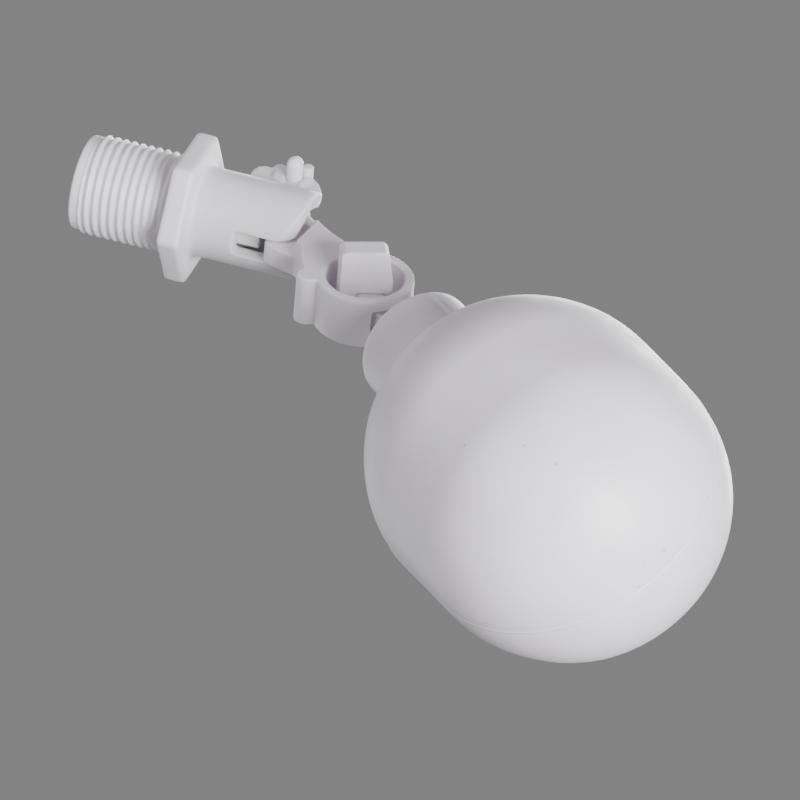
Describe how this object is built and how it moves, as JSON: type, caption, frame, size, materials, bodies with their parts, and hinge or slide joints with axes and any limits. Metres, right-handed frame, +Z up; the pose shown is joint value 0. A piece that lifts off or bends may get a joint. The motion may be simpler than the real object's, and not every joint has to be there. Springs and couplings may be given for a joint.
{
  "type": "float valve",
  "caption": "White plastic float valve: threaded inlet with hexagon flange, forked barrel with piston, pivoting lever and a hollow capsule float on an adjustable arm.",
  "frame": {"origin": "centre of the hexagon flange's face that seats against the tank wall, on the inlet thread's axis", "axes": "+Z up along the inlet thread, out of the valve; +X towards the side that the float swings to; +Y along the lever's pivot pin"},
  "size_m": [0.1193, 0.0672, 0.1627],
  "materials": {
    "body_plastic": "moulded white polypropylene, satin",
    "insert_plastic": "moulded natural plastic, satin",
    "piston_plastic": "moulded white acetal, satin",
    "seal_rubber": "matt black rubber",
    "pin_plastic": "smooth white nylon",
    "lever_plastic": "moulded white polypropylene, satin",
    "float_plastic": "blow-moulded white polyethylene, soft satin"
  },
  "bodies": {
    "root": {"valve_body": "body_plastic", "seat_nozzle": "insert_plastic", "pivot_pin": "pin_plastic"},
    "piston": {"piston": "piston_plastic", "piston_seal": "seal_rubber"},
    "lever": {"lever": "lever_plastic"},
    "float": {"swivel_plug": "lever_plastic", "float_arm": "lever_plastic", "neck_washer": "seal_rubber", "float_shell": "float_plastic"}
  },
  "joints": [
    {"name": "lever_swing", "type": "hinge", "parent": "root", "child": "lever", "pos_m": [-0.01, 0, -0.0209], "axis": [0, -1, 0], "range_deg": [0, 5]},
    {"name": "piston_slide", "type": "slide", "parent": "root", "child": "piston", "axis": [0, 0, 1], "range_m": [0, 0.0009]},
    {"name": "arm_adjust", "type": "hinge", "parent": "lever", "child": "float", "pos_m": [0.0173, 0, -0.0459], "axis": [0, -1, 0], "range_deg": [-5, 5]}
  ],
  "couplings": [
    {"joint": "piston_slide", "follows": "lever_swing", "m_per_rad": 0.01}
  ]
}
